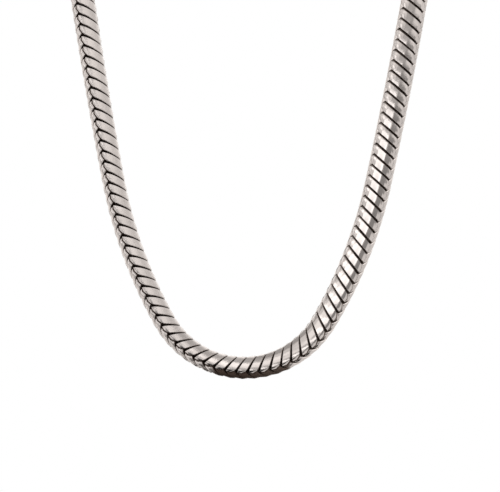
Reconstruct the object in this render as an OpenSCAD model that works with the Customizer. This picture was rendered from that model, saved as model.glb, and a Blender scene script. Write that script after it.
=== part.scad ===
// Snake chain necklace: close-set wavy rings on one whole loop, closed at the nape by a plain barrel clasp.
// All lengths are in millimetres and all angles in degrees. +Z is up and -Y is the wearer's front.
// The origin is where the clasp rests on the nape. The front of the loop hangs in an upright plane,
// and the same plane is bent back over the shoulders, which keeps every length along it.

/* [Chain] */
// Width of the chain across its broad rows of scales
chain_w = 6.8; // [6.4:0.1:7]
// Thickness of the chain from its front row to its back row
chain_t = 4.4; // [4.2:0.1:5.2]
// Wanted distance from one link to the next
link_pitch = 2.7; // [2.7:0.05:3.2]
// Open groove between two links, measured along the chain
link_gap = 0.34; // [0.3:0.02:0.5]
// How far the edge of a link runs along the chain from one seam to the next
scale_slant = 3.2; // [2:0.1:3.4]
// Half the angle that a broad row of scales takes round the chain
row_half_angle = 60; // [54:1:66]
// Thickness of the wall of a link
link_wall = 1.1; // [0.8:0.1:1.3]
// How far the neck of a link reaches into the next one
link_nest = 0.5; // [0.2:0.1:0.8]

/* [Loop] */
// Radius of the curve at the lowest point
front_radius = 23; // [20:1:30]
// Turn of the strand along that curve, on each side
front_turn = 60; // [50:1:64]
// Radius of the slack curve above it
lower_radius = 118; // [90:1:140]
// Turn of the strand along the slack curve
lower_turn = 18.3; // [14:0.1:20]
// Radius of the nearly straight upper strand
upper_radius = 1190; // [900:10:1250]
// Turn of the strand along it
upper_turn = 7.7; // [6:0.1:8]

/* [Shoulders] */
// Height above the lowest point at which the loop starts to lean back
bend_start = 125; // [105:1:150]
// Radius of that bend
bend_radius = 70; // [50:1:80]
// Lean of the neck part, from upright
bend_angle = 62; // [45:1:70]

/* [Clasp] */
// Length of the clasp from end to end
clasp_len = 22; // [20:1:26]
// Diameter of the barrel in the middle
barrel_d = 9.6; // [9.2:0.1:10.4]
// Diameter of the collar that holds each end of the chain
collar_d = 8.6; // [8.4:0.1:9.2]
// Depth of the socket in each collar
socket_depth = 5; // [4:0.5:6]
// Clearance of the chain's ends in their sockets
socket_gap = 0.25; // [0.15:0.05:0.35]

/* [Hidden] */

// Arcs of half the loop, from the lowest point to the clasp. Columns: radius, turn.
strand_arcs = [
    [front_radius, front_turn],
    [lower_radius, lower_turn],
    [upper_radius, upper_turn]
];
strand_turn = front_turn + lower_turn + upper_turn;
strand_top = arc_start(strand_arcs, 3);
// The arc round the nape ends level where the straight clasp begins.
neck_radius = (strand_top[0] - clasp_len / 2) / sin(strand_turn);
arcs = concat(strand_arcs, [[neck_radius, 180 - strand_turn]]);
arc_lengths = [for (i = [0:4]) arc_run(arcs, i)];
arc_headings = [for (i = [0:4]) arc_heading(arcs, i)];
arc_points = [for (i = [0:4]) arc_start(arcs, i)];
half_loop = arc_lengths[4] + clasp_len / 2;

// How the broad front row turns towards the inside of the loop as the chain twists.
// Columns: place along the chain from its lowest point, left of it negative, and the turn.
twist_table = [
    [-210, 0],
    [-110, 34],
    [-60, 43],
    [-10, 48],
    [12, 37],
    [36, 19],
    [52, 9],
    [110, 0]
];

// Stations round half of a link. Columns: angle round the chain, share of the slant at that angle.
// Seen from the front the edge of a broad row is a straight line, and in a side row it runs back.
link_stations = [
    for (angle = [-1, -0.5, 0, 0.5, 1] * row_half_angle) [angle, sin(angle) / sin(row_half_angle) / 2],
    [90, 0]
];
half_sides = len(link_stations);
sides = 2 * half_sides;

// The band of a link, and the run of chain that the links share out between them.
link_band = link_pitch - link_gap;
clasp_core = clasp_len - 2 * socket_depth;
chain_run = 2 * half_loop - clasp_core - 2 * socket_gap;
link_reach = scale_slant + link_band + link_nest;
link_count = 2 * floor(((chain_run - link_reach) / link_pitch + 1) / 2);
link_step = (chain_run - link_reach) / (link_count - 1);
first_link = -chain_run / 2 + (scale_slant + link_band) / 2;

// The clasp's centre line lies its own radius behind and above the point where it rests.
bend_end = bend_start + bend_radius * bend_angle * PI / 180;
nape = concat([0], lean_profile(arc_points[4][1]));
nape_inward = [0, -sin(bend_angle), -cos(bend_angle)];
origin_shift = -nape - nape_inward * barrel_d / 2;
socket_r = chain_w / 2 + socket_gap;
edge_round = 0.5;

// Sums along a list of arcs: heading, length and place at the start of arc i.
function arc_heading(list, i) = i == 0 ? 0 : arc_heading(list, i - 1) + list[i - 1][1];
function arc_run(list, i) = i == 0 ? 0 : arc_run(list, i - 1) + list[i - 1][0] * list[i - 1][1] * PI / 180;
function arc_step(radius, from, to) = radius * [sin(to) - sin(from), cos(from) - cos(to)];
function arc_start(list, i) =
    i == 0 ? [0, 0] : arc_start(list, i - 1)
        + arc_step(list[i - 1][0], arc_heading(list, i - 1), arc_heading(list, i));

// Which arc holds a place on the right half of the loop; the fourth row past them is the straight clasp.
function arc_index(run, i = 3) = i == 0 || run >= arc_lengths[i] ? i : arc_index(run, i - 1);

// Heading and place in the flat plane at a run along the right half.
function half_heading(run) =
    run >= arc_lengths[4] ? 180
    : let (i = arc_index(run)) arc_headings[i] + (run - arc_lengths[i]) / arcs[i][0] * 180 / PI;
function half_point(run) =
    run >= arc_lengths[4] ? arc_points[4] - [run - arc_lengths[4], 0]
    : let (i = arc_index(run)) arc_points[i] + arc_step(arcs[i][0], arc_headings[i], half_heading(run));

// The plane bent back over the shoulders: lean at a height along it, and its place as [y, z].
function lean(v) = max(0, min(bend_angle, (v - bend_start) / bend_radius * 180 / PI));
function lean_profile(v) =
    [bend_radius * (1 - cos(lean(v))), min(v, bend_start) + bend_radius * sin(lean(v))]
    + max(0, v - bend_end) * [sin(bend_angle), cos(bend_angle)];

// A point of the chain: run along it from the lowest point, offset towards the inside, offset to the front.
function chain_point(run, inward, forward) =
    let (
        side = run < 0 ? -1 : 1,
        flat = half_point(abs(run)),
        heading = half_heading(abs(run)),
        back = lean(flat[1]),
        along = lean_profile(flat[1])
    )
    origin_shift + [side * flat[0], along[0], along[1]]
    + inward * [-side * sin(heading), cos(heading) * sin(back), cos(heading) * cos(back)]
    + forward * [0, -cos(back), sin(back)];

// A point of the section at an angle round the chain, set in from its surface, with the twist of that place.
function section_point(run, angle, inset) =
    let (
        wide = (chain_w / 2 - inset) * sin(angle),
        deep = (chain_t / 2 - inset) * cos(angle),
        twist = lookup(run, twist_table)
    )
    chain_point(run, wide * cos(twist) + deep * sin(twist), deep * cos(twist) - wide * sin(twist));

// The three corners of a link's wall at one station: lower edge, upper edge, and the neck inside the next link.
function wall_corners(run, station, half_turn) =
    let (
        angle = station[0] + 180 * half_turn,
        middle = run + station[1] * scale_slant
    )
    [
        section_point(middle - link_band / 2, angle, 0),
        section_point(middle + link_band / 2, angle, 0),
        section_point(middle + link_band / 2 + link_nest, angle, link_wall)
    ];

function link_points(run) =
    [for (half_turn = [0, 1]) for (station = link_stations) each wall_corners(run, station, half_turn)];

// Two triangles for each side of the wall between two neighbouring stations.
link_faces = [
    for (k = [0:sides - 1]) for (corner = [0:2])
        let (
            here = 3 * k,
            next = 3 * ((k + 1) % sides),
            other = (corner + 1) % 3
        )
        each [
            [here + corner, next + corner, here + other],
            [next + corner, next + other, here + other]
        ]
];

// Many links as one body of separate rings, from number first to number last.
module link_row(first, last) {
    polyhedron(
        points = [for (i = [first:last]) each link_points(first_link + i * link_step)],
        faces = [
            for (i = [0:last - first]) for (face = link_faces)
                [for (corner = face) corner + 3 * sides * i]
        ],
        convexity = 10
    );
}

// Links from the clasp down the wearer's right strand, at the left of the front view, to the lowest point.
module links_left() {
    color([0.78, 0.76, 0.75]) link_row(0, link_count / 2 - 1);
}

// Links from the lowest point up the other strand to the clasp.
module links_right() {
    color([0.78, 0.76, 0.75]) link_row(link_count / 2, link_count - 1);
}

// Outline of the clasp from its axis outwards: a barrel between two collars, with rounded edges.
module clasp_outline() {
    offset(r = edge_round) offset(delta = -edge_round) union() {
        translate([0, -clasp_len / 2]) square([collar_d / 2, clasp_len]);
        translate([0, -clasp_core / 2]) square([barrel_d / 2, clasp_core]);
    }
    translate([0, -clasp_len / 2]) square([socket_r + edge_round, clasp_len]);
}

// One plain piece that both ends of the chain are fixed in.
module clasp() {
    color([0.80, 0.78, 0.77])
    translate(origin_shift + nape)
    rotate([0, 90, 0])
    difference() {
        rotate_extrude($fn = 64) clasp_outline();
        for (end = [-1, 1])
            translate([0, 0, end * (clasp_len / 2 - socket_depth / 2 + 0.5)])
                cylinder(r = socket_r, h = socket_depth + 1, center = true, $fn = 64);
    }
}

links_left();
links_right();
clasp();
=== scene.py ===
import bpy
import numpy as np
from mathutils import Matrix, Vector


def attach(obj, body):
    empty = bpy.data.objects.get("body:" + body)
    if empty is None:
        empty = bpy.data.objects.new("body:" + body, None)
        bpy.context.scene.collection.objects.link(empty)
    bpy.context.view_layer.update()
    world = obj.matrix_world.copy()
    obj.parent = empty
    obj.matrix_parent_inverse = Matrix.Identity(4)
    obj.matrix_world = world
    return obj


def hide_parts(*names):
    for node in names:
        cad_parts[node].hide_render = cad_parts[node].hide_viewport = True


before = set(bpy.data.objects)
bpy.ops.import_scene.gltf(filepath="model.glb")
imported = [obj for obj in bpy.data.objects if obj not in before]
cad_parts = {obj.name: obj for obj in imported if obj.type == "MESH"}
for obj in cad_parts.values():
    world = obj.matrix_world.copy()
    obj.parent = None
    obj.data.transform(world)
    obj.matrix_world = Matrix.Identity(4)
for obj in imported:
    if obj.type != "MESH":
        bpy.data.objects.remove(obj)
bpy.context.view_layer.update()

mm = 0.001  # sizes below are millimetres, Blender's are metres

# The loop: arcs of half of it from the lowest point up, as (radius, turn in degrees). One more arc,
# round the nape, is worked out so that the loop ends level where the straight clasp begins.
loopShape = {
    "strandArcs": [(23.0, 60.0), (118.0, 18.3), (1190.0, 7.7)],
    "bendStart": 125.0,  # height at which the plane of the loop leans back over the shoulders
    "bendRadius": 70.0,
    "bendAngle": 62.0,
    "claspLength": 22.0,
    "claspDiameter": 9.6,
    "socketDepth": 5.0,
    "socketGap": 0.25,
    # slow twist: place along the chain from its lowest point, turn of the broad row to the inside
    "twistPlaces": [-210.0, -110.0, -60.0, -10.0, 12.0, 36.0, 52.0, 110.0],
    "twistTurns": [0.0, 34.0, 43.0, 48.0, 37.0, 19.0, 9.0, 0.0],
}

chainLinks = {
    "width": 6.8,
    "thickness": 4.4,
    "pitch": 2.7,
    "solidGap": 0.34,  # groove of the solids, which sets where the first link starts
    "nest": 0.5,  # how far a neck reaches into the next link
    "wall": 1.1,
    "slant": 3.2,  # run of a link's edge along the chain from seam to seam
    "rowHalfAngle": 60.0,
    # stations round half of a link: degrees from the middle of a broad row, and from the seam on a side row
    "rowSteps": (9.0, 26.0, 42.0, 53.0),
    "sideSteps": (0.0, 8.0, 19.0, 30.0, 41.0, 52.0),
    "gap": 0.42,  # groove between the finished links
    "bevel": 0.15,  # width of the rolled edge along the chain, and its depth
    "bevelDepth": 0.13,
    "edgeDrop": 0.02,  # the long edges of a scale lie this much deeper than its middle
    "shingle": 0.03,  # and the lower one this much deeper than the upper one
    "endDrop": 0.24,  # how much deeper the edges lie at the rounded ends and on the side rows,
    "endWidth": 16.0,  # over how many degrees
    "endPlace": 8.0,  # and how many degrees beyond the seam
    "seamDrop": 0.42,  # crease between two rows, and its half width in degrees
    "seamWidth": 5.0,
    "seamBulge": 5.5,  # the crease bulges outwards round a scale's end, in degrees,
    "seamSkew": 13.0,  # runs back to the foot of the next groove,
    "bulgeWidth": 14.0,  # and takes its surroundings with it over so many degrees
    "tipCut": 0.42,  # how much the pointed end of a scale is rounded off, and over how many degrees
    "tipWidth": 9.5,
    "tipPlace": 8.0,  # and how many degrees beyond the seam
    "closedEnd": 0.9,  # share by which a groove closes at a scale's inner end, which overlaps the next,
    "closedWidth": 14.0,  # over how many degrees, and how many degrees beyond the seam
    "closedPlace": 3.0,
    "closedSide": 0.7,  # the same share on a side row,
    "closedSideFrom": 9.0,  # starting so many degrees beyond the seam and growing over so many more
    "closedSideSpan": 12.0,
    "closedOuter": 0.75,  # the same share at a scale's outer end, where the chain lies tighter,
    "tightFrom": 22.0,  # growing from one run along the chain to the other
    "tightTo": 46.0,
    "paintedShadeMiddle": 1.8,  # painted shade: the outer side row is blackened near the lowest point, so many mm beside it,
    "paintedShadeReach": 10.8,  # over so many mm each way, which fades over so many mm at the ends
    "paintedShadeFade": 3.0,
    "paintedShadeFrom": 1.0,  # starting so many degrees beyond the seam and growing over so many more
    "paintedShadeSpan": 7.0,
    "paintedShadeDepth": 0.3,  # mm, painted shade as dark as a groove of this depth
    "outOfTrue": 0.025,  # links lie a little out of true, in mm at the rim
    "seed": 12,
}


# A whole loop as arcs: heading grows evenly along each arc, and the place is the arc's own chord sum.
def layLoop(shape):
    turns = np.array([turn for _, turn in shape["strandArcs"]])
    radii = np.array([radius for radius, _ in shape["strandArcs"]])
    headings = np.concatenate([[0.0], np.cumsum(turns)])
    places = [np.zeros(2)]
    for radius, start, end in zip(radii, np.radians(headings[:-1]), np.radians(headings[1:])):
        chord = radius * np.array([np.sin(end) - np.sin(start), np.cos(start) - np.cos(end)])
        places.append(places[-1] + chord)
    halfClasp = shape["claspLength"] / 2
    last = np.radians(headings[-1])
    neckRadius = (places[-1][0] - halfClasp) / np.sin(last)
    places.append(np.array([halfClasp, places[-1][1] + neckRadius * (np.cos(last) + 1)]))
    radii = np.append(radii, neckRadius)
    headings = np.append(headings, 180.0)
    lengths = np.concatenate([[0.0], np.cumsum(radii * np.radians(np.diff(headings)))])
    loop = dict(shape, radii=radii, headings=np.radians(headings), places=np.array(places), lengths=lengths)
    loop["half"] = lengths[-1] + halfClasp
    loop["lean"] = np.radians(shape["bendAngle"])
    loop["bendEnd"] = shape["bendStart"] + shape["bendRadius"] * loop["lean"]
    napeBack, napeUp = leanProfile(loop, places[-1][1])
    clasp = shape["claspDiameter"] / 2
    inward = np.array([0.0, -np.sin(loop["lean"]), -np.cos(loop["lean"])])
    loop["shift"] = -np.array([0.0, napeBack, napeUp]) - inward * clasp
    return loop


# Lean of the plane at a height along it: none, then growing evenly round the bend, then constant.
def leanAt(loop, height):
    return np.clip((height - loop["bendStart"]) / loop["bendRadius"], 0, loop["lean"])


# Place of that height as (back, up): upright part, arc of the bend, then a straight slope.
def leanProfile(loop, height):
    lean = leanAt(loop, height)
    past = np.maximum(0, height - loop["bendEnd"])
    back = loop["bendRadius"] * (1 - np.cos(lean)) + past * np.sin(loop["lean"])
    upright = np.minimum(height, loop["bendStart"])
    up = upright + loop["bendRadius"] * np.sin(lean) + past * np.cos(loop["lean"])
    return back, up


# A point of the chain: its place on the loop, then offsets to the inside of the loop and to its front.
def chainPoint(loop, run, inward, forward):
    side = np.where(run < 0, -1.0, 1.0)
    far = np.abs(run)
    arc = np.clip(np.searchsorted(loop["lengths"], far, side="right") - 1, 0, len(loop["radii"]) - 1)
    start = loop["headings"][arc]
    onClasp = far >= loop["lengths"][-1]
    heading = np.where(onClasp, np.pi, start + (far - loop["lengths"][arc]) / loop["radii"][arc])
    across = loop["places"][arc, 0] + loop["radii"][arc] * (np.sin(heading) - np.sin(start))
    height = loop["places"][arc, 1] + loop["radii"][arc] * (np.cos(start) - np.cos(heading))
    across = np.where(onClasp, loop["half"] - far, across)
    height = np.where(onClasp, loop["places"][-1, 1], height)
    lean = leanAt(loop, height)
    back, up = leanProfile(loop, height)
    x = loop["shift"][0] + side * across - inward * side * np.sin(heading)
    y = loop["shift"][1] + back + inward * np.cos(heading) * np.sin(lean) - forward * np.cos(lean)
    z = loop["shift"][2] + up + inward * np.cos(heading) * np.cos(lean) + forward * np.sin(lean)
    return np.stack([x, y, z], axis=-1)


# A point of the oval section at an angle round the chain: half the width times the sine of the angle
# and half the thickness times its cosine, both less the inset, turned by the twist of that place.
def sectionPoint(loop, links, run, angle, inset):
    wide = (links["width"] / 2 - inset) * np.sin(angle)
    deep = (links["thickness"] / 2 - inset) * np.cos(angle)
    twist = np.radians(np.interp(run, loop["twistPlaces"], loop["twistTurns"]))
    inward = wide * np.cos(twist) + deep * np.sin(twist)
    forward = deep * np.cos(twist) - wide * np.sin(twist)
    return chainPoint(loop, run, inward, forward)


# Where each link's middle lies along the chain: at even steps from one socket of the clasp to the other.
def linkPlaces(loop, links):
    band = links["pitch"] - links["solidGap"]
    core = loop["claspLength"] - 2 * loop["socketDepth"]
    run = 2 * loop["half"] - core - 2 * loop["socketGap"]
    reach = links["slant"] + band + links["nest"]
    count = 2 * int(((run - reach) / links["pitch"] + 1) // 2)
    return -run / 2 + (links["slant"] + band) / 2 + np.arange(count) * (run - reach) / (count - 1)


# Stations round a link in degrees, closer together beside the four seams where its edges turn back.
def linkStations(links):
    row = links["rowHalfAngle"]
    steps = np.array(links["rowSteps"])
    half = np.concatenate([[-row], -steps[::-1], steps, row + np.array(links["sideSteps"])])
    return np.concatenate([half - 180, half])


# Share of the slant at each angle: straight as seen from the front on a broad row, where it is the sine
# of the angle, and rounded back on a side row, where it is a quarter wave of the cosine.
def leanShare(links, turn):
    row = np.radians(links["rowHalfAngle"])
    onBroad = np.sin(np.radians(turn)) / np.sin(row) / 2
    across = (np.abs(np.radians(turn)) - row) / (np.pi / 2 - row)
    onSide = np.sign(turn) * np.cos(across * np.pi / 2) / 2
    return np.where(np.abs(turn) <= links["rowHalfAngle"], onBroad, onSide)


# Corners of a link's wall. Columns: share along the band, shift and inset in mm, on an edge, outside.
def wallCorners(links):
    upper, lower = links["edgeDrop"], links["edgeDrop"] + links["shingle"]
    return np.array(
        [
            (-0.5, 0.0, lower + links["bevelDepth"], 1.0, 1.0),
            (-0.5, links["bevel"], lower, 1.0, 1.0),
            (0.0, 0.0, links["shingle"] / 2, 0.0, 1.0),
            (0.5, -links["bevel"], upper, 1.0, 1.0),
            (0.5, 0.0, upper + links["bevelDepth"], 1.0, 1.0),
            (0.5, links["nest"], links["wall"], 0.0, 0.0),
        ]
    )


# The wave of the links: run along the chain, angle round it and depth below its surface for every
# point, and how deep in a groove it counts as for the tarnish and painted shade; the painted shade of
# the outer side row near the lowest point is added to that. The run is the link's place, plus its
# shares of the slant and of the band. Bell curves of the angle from the nearest seam sink the crease
# there, bend it round the scale's end, round off the pointed end and let its edges drop away. The tip
# is +1 at a scale's pointed end and -1 at its notch.
def waveLinks(links, places, first):
    angle = linkStations(links)[None, :, None]
    share, shift, inset, edge, outside = wallCorners(links).T[:, None, None, :]
    turn = (angle + 90) % 180 - 90
    tip = 2 * share * np.sign(turn)
    beyond = np.abs(turn) - links["rowHalfAngle"]

    def bell(width, middle=0.0):
        return outside * np.exp(-(((beyond - middle) / links[width]) ** 2))

    crease = links["seamDrop"] * bell("seamWidth")
    drop = links["endDrop"] * edge * bell("endWidth", links["endPlace"])
    bend = (links["seamBulge"] + links["seamSkew"] * np.minimum(tip, 0)) * bell("bulgeWidth")
    tight = (places[:, None, None] - links["tightFrom"]) / (links["tightTo"] - links["tightFrom"])
    atEnd = np.where(turn > 0, links["closedEnd"], links["closedOuter"] * np.clip(tight, 0, 1))
    atEnd = atEnd * bell("closedWidth", links["closedPlace"])
    onSide = np.clip((beyond - links["closedSideFrom"]) / links["closedSideSpan"], 0, 1)
    stillOpen = 1 - np.maximum(atEnd, outside * links["closedSide"] * onSide)
    cut = links["tipCut"] * (tip > 0) * bell("tipWidth", links["tipPlace"])
    cut = cut * np.where(turn > 0, stillOpen, 1 - atEnd)
    chance = np.random.default_rng(links["seed"] + first)
    rock = chance.normal(0, links["outOfTrue"], (4, len(places), 1, 1))
    band = links["pitch"] - links["gap"] * (1 + stillOpen) / 2
    run = places[:, None, None] + leanShare(links, turn) * links["slant"]
    run = run + share * band + shift - np.sign(share) * cut
    run = run + rock[0] * np.cos(np.radians(angle)) + rock[1] * np.sin(np.radians(angle))
    depth = inset + drop + crease + outside * (np.abs(rock[2]) / 2 + np.maximum(0, rock[3] * share))
    angle = np.broadcast_to(np.radians(angle + np.sign(turn) * bend), run.shape)
    # painted shade on the outer side row near the lowest point, added to the depth that darkens the steel
    paintedShade = (links["paintedShadeReach"] - np.abs(run - links["paintedShadeMiddle"])) / links["paintedShadeFade"]
    paintedShade = np.clip(paintedShade, 0, 1) * np.clip((beyond - links["paintedShadeFrom"]) / links["paintedShadeSpan"], 0, 1)
    sunk = inset - links["edgeDrop"] * edge - links["shingle"] * (0.5 - share) + crease
    sunk = sunk * stillOpen + links["paintedShadeDepth"] * paintedShade * (np.sin(angle) < 0)
    return run, angle, depth, sunk


# All links of one stretch as one mesh: each point is the section point of its run, angle and depth, and
# each face joins two neighbouring stations and two neighbouring wall corners. The straight chain, the
# depth that sets the tarnish and painted shade, and the number of the link go with the points, for the
# material.
def buildLinks(name, loop, links, places, first):
    run, angle, depth, sunk = waveLinks(links, places, first)
    points = sectionPoint(loop, links, run, angle, depth) * mm
    count, around, wall = run.shape
    index = np.arange(count * around * wall).reshape(count, around, wall)
    nextAround, nextWall = np.roll(index, -1, 1), np.roll(index, -1, 2)
    corner = np.stack([index, nextAround, np.roll(nextAround, -1, 2), nextWall], -1)
    mesh = bpy.data.meshes.new(name)
    mesh.from_pydata(points.reshape(-1, 3), [], corner.reshape(-1, 4).tolist())
    mesh.shade_smooth()
    # sharp where the face meets its two rolled edges, which are wall corners 1 and 3
    ends = np.empty(2 * len(mesh.edges), dtype=np.int32)
    mesh.edges.foreach_get("vertices", ends)
    ends = ends.reshape(-1, 2) % wall
    alongEdge = (ends[:, 0] == ends[:, 1]) & np.isin(ends[:, 0], (1, 3))
    mesh.attributes.new("sharp_edge", "BOOLEAN", "EDGE").data.foreach_set("value", alongEdge)
    wide = (links["width"] / 2 - depth) * np.sin(angle)
    deep = (links["thickness"] / 2 - depth) * np.cos(angle)
    laid = mesh.attributes.new("straightened", "FLOAT_VECTOR", "POINT")
    laid.data.foreach_set("vector", np.stack([run, wide, deep], -1).ravel().astype(np.float32))
    number = first + np.arange(count)[:, None, None]
    # the sunk depth sets the tarnish and painted shade of the grooves and creases
    for key, values in (("tarnishAndShadeDepth", sunk), ("linkNumber", number)):
        layer = mesh.attributes.new(key, "FLOAT", "POINT")
        layer.data.foreach_set("value", np.broadcast_to(values, run.shape).ravel().astype(np.float32))
    piece = bpy.data.objects.new(name, mesh)
    bpy.context.scene.collection.objects.link(piece)
    print(name, "links", count, "faces", len(mesh.polygons))
    return piece


# sRGB hex to linear: the usual two-part curve of the sRGB standard.
def hexToLinear(text):
    values = np.array([int(text[i : i + 2], 16) for i in (1, 3, 5)]) / 255
    linear = np.where(values <= 0.04045, values / 12.92, ((values + 0.055) / 1.055) ** 2.4)
    return (*linear.tolist(), 1.0)


# Adds one node with its settings and its links or fixed inputs, named or numbered as i0, i1 and so on.
def addNode(tree, kind, settings=None, **inputs):
    node = tree.nodes.new(kind)
    for key, value in (settings or {}).items():
        setattr(node, key, value)
    for key, value in inputs.items():
        byNumber = key[0] == "i" and key[1:].isdigit()
        socket = node.inputs[int(key[1:]) if byNumber else key.replace("_", " ")]
        if isinstance(value, bpy.types.NodeSocket):
            tree.links.new(value, socket)
        else:
            socket.default_value = value
    return node


steelFinish = {
    "face": "#cfc8c5",  # light grey of polished steel, hardly warm
    "faceWorn": "#bdb7b3",
    "groove": "#4f423b",  # soot-brown tarnish that settles between the scales, and painted shade in the grooves and creases
    "grooveLessTarnishAndShade": "#85786f",  # less of both on the bright strand
    "tarnishAndShadeFrom": 0.10,  # mm below the face where the tarnish and painted shade start, and where they cover all
    "tarnishAndShadeFull": 0.27,
    "tarnishAndShadeRoughness": 0.7,
    "polished": 0.09,  # roughness of the bright strand and of the handled, duller one
    "handled": 0.19,
    "streakContrast": (0.8, 1.3),  # how the streaks lower and raise it
    "streakLength": 1.6,  # mm, wear streaks run along the chain
    "streakWidth": 0.14,
    "blotchSize": 2.0,  # mm, clouds of the two face colours
    "dentSize": 0.4545,  # mm, shallow dents from wear
    "relief": 0.04,  # mm, height of streaks and dents
    "reliefHandled": 1.0,  # how much of it shows on the duller strand and on the bright one
    "reliefPolished": 0.14,
    "spread": 0.05,  # how much brighter or darker single links are
    # between which runs, in mm from the lowest point, the duller strand gives way to the bright one
    "polishRuns": (-30.0, 10.0),
    "reliefRuns": (-30.0, 20.0),
    "grooveRuns": (0.0, 30.0),
}


# Stainless steel, tumbled bright and then worn: mirror-like scales, fine streaks, tarnished grooves with
# painted shade.
def polishedSteel(finish):
    material = bpy.data.materials.new("polishedWornSteel")
    material.use_nodes = True
    tree = material.node_tree
    tree.nodes.clear()
    out = addNode(tree, "ShaderNodeOutputMaterial")
    place = addNode(tree, "ShaderNodeAttribute", {"attribute_name": "straightened"})
    depth = addNode(tree, "ShaderNodeAttribute", {"attribute_name": "tarnishAndShadeDepth"})
    split = addNode(tree, "ShaderNodeSeparateXYZ", Vector=place.outputs["Vector"])
    stretched = addNode(
        tree,
        "ShaderNodeVectorMath",
        {"operation": "MULTIPLY"},
        i0=place.outputs["Vector"],
        i1=(1 / finish["streakLength"], 1 / finish["streakWidth"], 1 / finish["streakWidth"]),
    )
    streaks = addNode(
        tree, "ShaderNodeTexNoise", Vector=stretched.outputs["Vector"], Scale=1.0, Detail=3.0, Roughness=0.6
    )
    blotch = addNode(
        tree,
        "ShaderNodeTexNoise",
        Vector=place.outputs["Vector"],
        Scale=1 / finish["blotchSize"],
        Detail=3.0,
        Roughness=0.55,
    )
    tint = addNode(
        tree,
        "ShaderNodeMix",
        {"data_type": "RGBA"},
        i0=blotch.outputs["Fac"],
        i6=hexToLinear(finish["face"]),
        i7=hexToLinear(finish["faceWorn"]),
    )
    # tarnish and painted shade: the steel darkens with its depth in a groove or crease
    tarnishAndShadeMask = addNode(
        tree,
        "ShaderNodeMapRange",
        {"interpolation_type": "SMOOTHSTEP"},
        Value=depth.outputs["Fac"],
        From_Min=finish["tarnishAndShadeFrom"],
        From_Max=finish["tarnishAndShadeFull"],
    )
    number = addNode(tree, "ShaderNodeAttribute", {"attribute_name": "linkNumber"})
    chance = addNode(
        tree, "ShaderNodeTexWhiteNoise", {"noise_dimensions": "1D"}, W=number.outputs["Fac"]
    )
    spread = addNode(
        tree,
        "ShaderNodeMapRange",
        Value=chance.outputs["Value"],
        To_Min=1.0 - finish["spread"],
        To_Max=1.0 + finish["spread"],
    )
    varied = addNode(
        tree,
        "ShaderNodeVectorMath",
        {"operation": "SCALE"},
        i0=tint.outputs[2],
        Scale=spread.outputs["Result"],
    )

    # even change along the chain, from a value of the duller strand to one of the bright strand
    def alongChain(runs, before, after):
        return addNode(
            tree,
            "ShaderNodeMapRange",
            Value=split.outputs["X"],
            From_Min=finish[runs][0],
            From_Max=finish[runs][1],
            To_Min=before,
            To_Max=after,
        ).outputs["Result"]

    # colour of the tarnish and painted shade, lighter on the bright strand
    tarnishAndShadeColour = addNode(
        tree,
        "ShaderNodeMix",
        {"data_type": "RGBA"},
        i0=alongChain("grooveRuns", 0.0, 1.0),
        i6=hexToLinear(finish["groove"]),
        i7=hexToLinear(finish["grooveLessTarnishAndShade"]),
    )
    colour = addNode(
        tree,
        "ShaderNodeMix",
        {"data_type": "RGBA"},
        i0=tarnishAndShadeMask.outputs["Result"],
        i6=varied.outputs["Vector"],
        i7=tarnishAndShadeColour.outputs[2],
    )
    grain = addNode(
        tree,
        "ShaderNodeMapRange",
        Value=streaks.outputs["Fac"],
        From_Min=0.3,  # the noise lies mostly between these two
        From_Max=0.7,
        To_Min=finish["streakContrast"][0],
        To_Max=finish["streakContrast"][1],
    )
    worn = addNode(
        tree,
        "ShaderNodeMath",
        {"operation": "MULTIPLY"},
        i0=alongChain("polishRuns", finish["handled"], finish["polished"]),
        i1=grain.outputs["Result"],
    )
    rough = addNode(
        tree,
        "ShaderNodeMix",
        {"data_type": "FLOAT"},
        i0=tarnishAndShadeMask.outputs["Result"],
        i2=worn.outputs["Value"],
        i3=finish["tarnishAndShadeRoughness"],
    )
    dents = addNode(
        tree,
        "ShaderNodeTexNoise",
        Vector=place.outputs["Vector"],
        Scale=1 / finish["dentSize"],
        Detail=2.0,
        Roughness=0.5,
    )
    relief = addNode(
        tree, "ShaderNodeMath", {"operation": "ADD"}, i0=streaks.outputs["Fac"], i1=dents.outputs["Fac"]
    )
    bump = addNode(
        tree,
        "ShaderNodeBump",
        Strength=alongChain("reliefRuns", finish["reliefHandled"], finish["reliefPolished"]),
        Distance=finish["relief"] * mm,
        Height=relief.outputs["Value"],
    )
    shader = addNode(
        tree,
        "ShaderNodeBsdfPrincipled",
        Base_Color=colour.outputs[2],
        Metallic=1.0,
        Roughness=rough.outputs[0],
        Normal=bump.outputs["Normal"],
    )
    tree.links.new(shader.outputs["BSDF"], out.inputs["Surface"])
    return material


claspFinish = {
    "face": "#cbc5c1",
    "shade": "#b9b2ae",
    "cloudSize": 2.5,  # mm, clouds of the two colours
    "roughness": (0.176, 0.286),  # between the rings that the lathe leaves, and on them
    "ringSpacing": 1.131,  # mm, drawn coarser than real lathe marks of about 0.1 mm, so that they show
    "ringWobble": 1.5,
    "ringDepth": 0.05,  # mm
    "ringStrength": 0.15,  # how much of that depth shows
}


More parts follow.
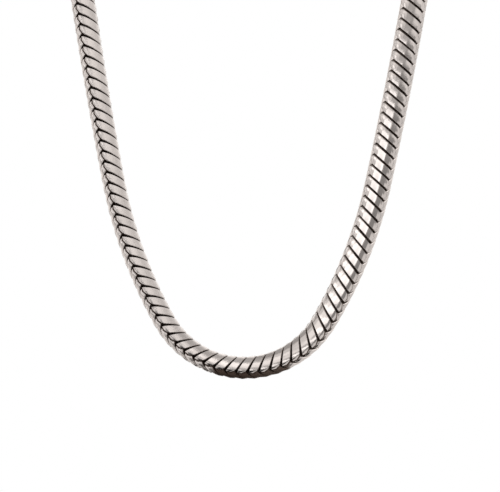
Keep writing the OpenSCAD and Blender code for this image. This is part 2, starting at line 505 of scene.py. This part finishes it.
# Stainless steel turned and polished on a lathe: a soft sheen with faint rings round the barrel.
def turnedSteel(finish):
    material = bpy.data.materials.new("turnedSteel")
    material.use_nodes = True
    tree = material.node_tree
    tree.nodes.clear()
    out = addNode(tree, "ShaderNodeOutputMaterial")
    place = addNode(tree, "ShaderNodeTexCoord")
    rings = addNode(
        tree,
        "ShaderNodeTexWave",
        {"wave_type": "BANDS", "bands_direction": "X"},
        Vector=place.outputs["Object"],
        Scale=2 * np.pi / (20 * finish["ringSpacing"] * mm),  # a wave turns 20 radians to a unit of scale
        Distortion=finish["ringWobble"],
        Detail=2.0,
    )
    cloud = addNode(
        tree,
        "ShaderNodeTexNoise",
        Vector=place.outputs["Object"],
        Scale=1 / (finish["cloudSize"] * mm),
        Detail=3.0,
    )
    tint = addNode(
        tree,
        "ShaderNodeMix",
        {"data_type": "RGBA"},
        i0=cloud.outputs["Fac"],
        i6=hexToLinear(finish["face"]),
        i7=hexToLinear(finish["shade"]),
    )
    rough = addNode(
        tree,
        "ShaderNodeMapRange",
        Value=rings.outputs["Fac"],
        To_Min=finish["roughness"][0],
        To_Max=finish["roughness"][1],
    )
    bump = addNode(
        tree,
        "ShaderNodeBump",
        Strength=finish["ringStrength"],
        Distance=finish["ringDepth"] * mm,
        Height=rings.outputs["Fac"],
    )
    shader = addNode(
        tree,
        "ShaderNodeBsdfPrincipled",
        Base_Color=tint.outputs[2],
        Metallic=1.0,
        Roughness=rough.outputs["Result"],
        Normal=bump.outputs["Normal"],
    )
    tree.links.new(shader.outputs["BSDF"], out.inputs["Surface"])
    return material


photoFrame = {
    "pixelSize": 0.25,  # mm to a pixel at the lowest point of the chain
    "width": 500,
    "height": 492,
    "lowestPixel": (243.2, 367.6),  # where the lowest point of the centre line shows
    "roll": 0.78,  # degrees, the picture hangs a little askew
    "lookUp": 3.0,  # degrees
    "distance": 420.0,  # mm from the eye to the middle of the picture
}


# Camera before the hanging front. The picture is laid out in the plane of the lowest point and turned
# by the roll. The eye stands at its distance before the picture's middle, and the lens follows from the
# real size of a pixel: the sensor's width times the distance, over the picture's width.
def makeCamera(loop, view):
    camera = bpy.data.cameras.new("camera")
    eye = bpy.data.objects.new("camera", camera)
    bpy.context.scene.collection.objects.link(eye)
    bpy.context.scene.camera = eye
    camera.lens = camera.sensor_width * view["distance"] / (view["pixelSize"] * view["width"])
    roll, pitch = np.radians(view["roll"]), np.radians(view["lookUp"])
    right = (view["width"] / 2 - view["lowestPixel"][0]) * view["pixelSize"]
    up = (view["lowestPixel"][1] - view["height"] / 2) * view["pixelSize"]
    across = right * np.cos(roll) - up * np.sin(roll)
    above = right * np.sin(roll) + up * np.cos(roll)
    upward = np.array([0.0, -np.sin(pitch), np.cos(pitch)])
    ahead = np.array([0.0, np.cos(pitch), np.sin(pitch)])
    eye.location = (loop["shift"] + [across, 0, 0] + above * upward - view["distance"] * ahead) * mm
    turn = Matrix.Rotation(np.pi / 2 + pitch, 3, "X") @ Matrix.Rotation(roll, 3, "Z")
    eye.rotation_euler = turn.to_euler()
    camera.clip_start, camera.clip_end = 0.02, 50.0  # metres
    print("camera placed")


studio = {
    "floorHeight": -0.45,  # metres
    "floorHalf": 1.0,
    "floor": "#f2efec",
    "floorRoughness": 0.9,
    "backdrop": "#ffffff",
    "room": "#fffdfb",
    "roomTilt": 9.7,  # degrees that the room hangs askew to the picture
    "walls": 1.0,
    "behind": 1.5,  # brighter straight behind the object, where the share of a direction that points away
    "behindFrom": 0.45,  # from the camera is over the first value, and in full over the second
    "behindFull": 0.8,
    # Soft panels that the steel mirrors, each over the ones before it, in degrees to the right of the
    # camera and above it. Columns: from and to across, from and to upwards, strength.
    "panels": [
        (-180.0, 180.0, 64.0, 95.0, 0.68),  # ceiling
        (8.0, 160.0, 52.0, 64.0, 0.72),
        (40.0, 62.0, 22.5, 46.0, 1.30),
        (14.0, 46.0, 36.0, 66.0, 1.35),
        (-6.0, 15.0, 36.0, 60.0, 1.80),
        (14.0, 40.0, 14.0, 36.0, 1.12),
        (12.0, 34.0, 14.0, 25.0, 1.55),
        (2.0, 12.0, 9.0, 17.0, 0.60),
        (-155.0, -86.0, 20.0, 66.0, 0.55),
        (-58.0, -4.0, 39.0, 65.0, 1.50),  # main light
        (-38.0, 20.0, 58.0, 76.0, 1.85),
        (-38.0, -19.0, 23.0, 41.0, 1.25),
        (-66.0, -34.0, 13.0, 30.0, 1.40),
        (-98.0, -58.0, 10.5, 16.0, 1.40),
        (-20.0, 6.0, 7.0, 30.0, 0.66),
        (-30.0, -20.0, 7.0, 22.0, 0.66),
        (-60.0, -22.0, 3.0, 8.0, 0.62),
        (-62.0, -6.0, -78.0, -5.0, 0.64),
        (-52.0, -20.0, -46.0, -16.0, 1.30),
        (-34.0, -11.0, -8.0, 6.0, 0.42),  # dark panels low before the object
        (0.0, 34.0, -10.0, 8.5, 0.38),
        (30.0, 56.0, 3.0, 8.3, 0.42),
        (19.0, 58.0, 8.7, 13.5, 1.20),
        (-14.0, 14.0, -24.0, -8.0, 0.20),
        (-14.0, 30.0, -90.0, -20.0, 0.03),  # the dark below
        (-180.0, 180.0, -90.0, -72.0, 0.03),
        (-180.0, -146.0, -84.0, -38.0, 0.03),
        (160.0, 180.0, -84.0, -42.0, 0.03),
        (-140.0, -78.0, -35.0, -8.0, 1.45),
    ],
    "panelSoftness": 3.0,  # degrees from no panel to all of it
    # Soft boxes near enough to show only from part of the chain. Columns: degrees to the right of the
    # camera, then width, height, and height of the middle above the lowest point in mm, then strength.
    "boxes": [(-29.0, 456.0, 95.0, 92.5, 1.22), (-73.0, 340.0, 32.0, 143.0, 0.90)],
    "boxAim": 35.0,  # mm, they turn round a point so far to the right of the lowest point,
    "boxDistance": 490.0,  # and so far from them
}


# A white backdrop for the eye, and a soft studio for the reflections: pale walls, a white wall behind
# and panels. How much of a panel shows in a direction follows from the greater of its two distances
# past its edges, across and upwards: the distance from its middle less half its width or height.
def makeWorld(values):
    world = bpy.data.worlds.new("studio")
    bpy.context.scene.world = world
    world.use_nodes = True
    tree = world.node_tree
    tree.nodes.clear()
    out = addNode(tree, "ShaderNodeOutputWorld")
    ray = addNode(tree, "ShaderNodeLightPath")
    look = addNode(tree, "ShaderNodeTexCoord")
    level = addNode(
        tree,
        "ShaderNodeVectorRotate",
        {"rotation_type": "Y_AXIS"},
        Vector=look.outputs["Generated"],
        Angle=-np.radians(values["roomTilt"]),
    )
    split = addNode(tree, "ShaderNodeSeparateXYZ", Vector=level.outputs["Vector"])
    x, y, z = split.outputs
    ahead = addNode(tree, "ShaderNodeMath", {"operation": "MULTIPLY"}, i0=y, i1=-1.0).outputs[0]
    bearing = addNode(tree, "ShaderNodeMath", {"operation": "ARCTAN2"}, i0=x, i1=ahead).outputs[0]
    across = addNode(tree, "ShaderNodeMath", {"operation": "DEGREES"}, i0=bearing).outputs[0]
    rise = addNode(tree, "ShaderNodeMath", {"operation": "ARCSINE"}, i0=z).outputs[0]
    upwards = addNode(tree, "ShaderNodeMath", {"operation": "DEGREES"}, i0=rise).outputs[0]

    def pastEdge(angle, low, high):
        middle, half = (low + high) / 2, (high - low) / 2
        offset = addNode(tree, "ShaderNodeMath", {"operation": "SUBTRACT"}, i0=angle, i1=middle).outputs[0]
        apart = addNode(tree, "ShaderNodeMath", {"operation": "ABSOLUTE"}, i0=offset).outputs[0]
        return addNode(tree, "ShaderNodeMath", {"operation": "SUBTRACT"}, i0=apart, i1=half).outputs[0]

    behind = addNode(
        tree,
        "ShaderNodeMapRange",
        {"interpolation_type": "SMOOTHSTEP"},
        Value=y,
        From_Min=values["behindFrom"],
        From_Max=values["behindFull"],
    )
    strength = addNode(
        tree,
        "ShaderNodeMix",
        {"data_type": "FLOAT"},
        i0=behind.outputs["Result"],
        i2=values["walls"],
        i3=values["behind"],
    ).outputs[0]
    for left, right, low, high, power in values["panels"]:
        past = addNode(
            tree,
            "ShaderNodeMath",
            {"operation": "MAXIMUM"},
            i0=pastEdge(across, left, right),
            i1=pastEdge(upwards, low, high),
        )
        mask = addNode(
            tree,
            "ShaderNodeMapRange",
            {"interpolation_type": "SMOOTHSTEP"},
            Value=past.outputs["Value"],
            From_Min=values["panelSoftness"] / 2,
            From_Max=-values["panelSoftness"] / 2,
        )
        strength = addNode(
            tree, "ShaderNodeMix", {"data_type": "FLOAT"}, i0=mask.outputs["Result"], i2=strength, i3=power
        ).outputs[0]
    room = addNode(tree, "ShaderNodeBackground", Color=hexToLinear(values["room"]), Strength=strength)
    white = addNode(tree, "ShaderNodeBackground", Color=hexToLinear(values["backdrop"]), Strength=1.0)
    isSeen = ray.outputs["Is Camera Ray"]
    shown = addNode(tree, "ShaderNodeMixShader", i0=isSeen, i1=room.outputs[0], i2=white.outputs[0])
    tree.links.new(shown.outputs[0], out.inputs["Surface"])
    print("studio panels", len(values["panels"]))


# Rectangular soft boxes round the camera, facing the chain and hung as askew as the room. The power of
# a box is its strength times pi times its area.
def makeBoxes(loop, values):
    tilt = Matrix.Rotation(np.radians(values["roomTilt"]), 3, "Y")
    for side, width, height, middle, strength in values["boxes"]:
        light = bpy.data.lights.new("softBox", "AREA")
        light.shape = "RECTANGLE"
        light.size, light.size_y = width * mm, height * mm
        light.energy = strength * np.pi * light.size * light.size_y
        box = bpy.data.objects.new("softBox", light)
        bpy.context.scene.collection.objects.link(box)
        turn = Matrix.Rotation(np.radians(side), 3, "Z")
        place = turn @ Vector((0, -values["boxDistance"], 0)) + Vector((values["boxAim"], 0, middle))
        box.location = (Vector(loop["shift"]) + tilt @ place) * mm
        box.rotation_euler = (tilt @ turn @ Matrix.Rotation(np.pi / 2, 3, "X")).to_euler()
    print("soft boxes", len(values["boxes"]))


# Painted board, rolled on matt: a plain pale square floor under the chain, out of the front view.
def makeFloor(values):
    half, height = values["floorHalf"], values["floorHeight"]
    mesh = bpy.data.meshes.new("floor")
    corners = [(-half, -half, height), (half, -half, height), (half, half, height), (-half, half, height)]
    mesh.from_pydata(corners, [], [(0, 1, 2, 3)])
    material = bpy.data.materials.new("paintedBoard")
    material.use_nodes = True
    shader = material.node_tree.nodes["Principled BSDF"]
    shader.inputs["Base Color"].default_value = hexToLinear(values["floor"])
    shader.inputs["Roughness"].default_value = values["floorRoughness"]
    mesh.materials.append(material)
    floor = bpy.data.objects.new("floor", mesh)
    bpy.context.scene.collection.objects.link(floor)
    floor.visible_glossy = False
    print("floor laid")


loop = layLoop(loopShape)
places = linkPlaces(loop, chainLinks)
half = len(places) // 2
print("loop length mm", round(2 * loop["half"], 1), "links", len(places))

steel = polishedSteel(steelFinish)
for name, node, chosen, first in (
    ("linksLeftStrand", "links_left", places[:half], 0),
    ("linksRightStrand", "links_right", places[half:], half),
):
    strand = buildLinks(name, loop, chainLinks, chosen, first)
    strand.data.materials.append(steel)
    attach(strand, "root")
    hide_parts(node)

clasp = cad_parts["clasp"]
for slotIndex in range(len(clasp.material_slots)):
    clasp.material_slots[slotIndex].material = turnedSteel(claspFinish)
print("clasp finished")

makeCamera(loop, photoFrame)
makeWorld(studio)
makeBoxes(loop, studio)
makeFloor(studio)
bpy.context.scene.view_settings.view_transform = "Standard"
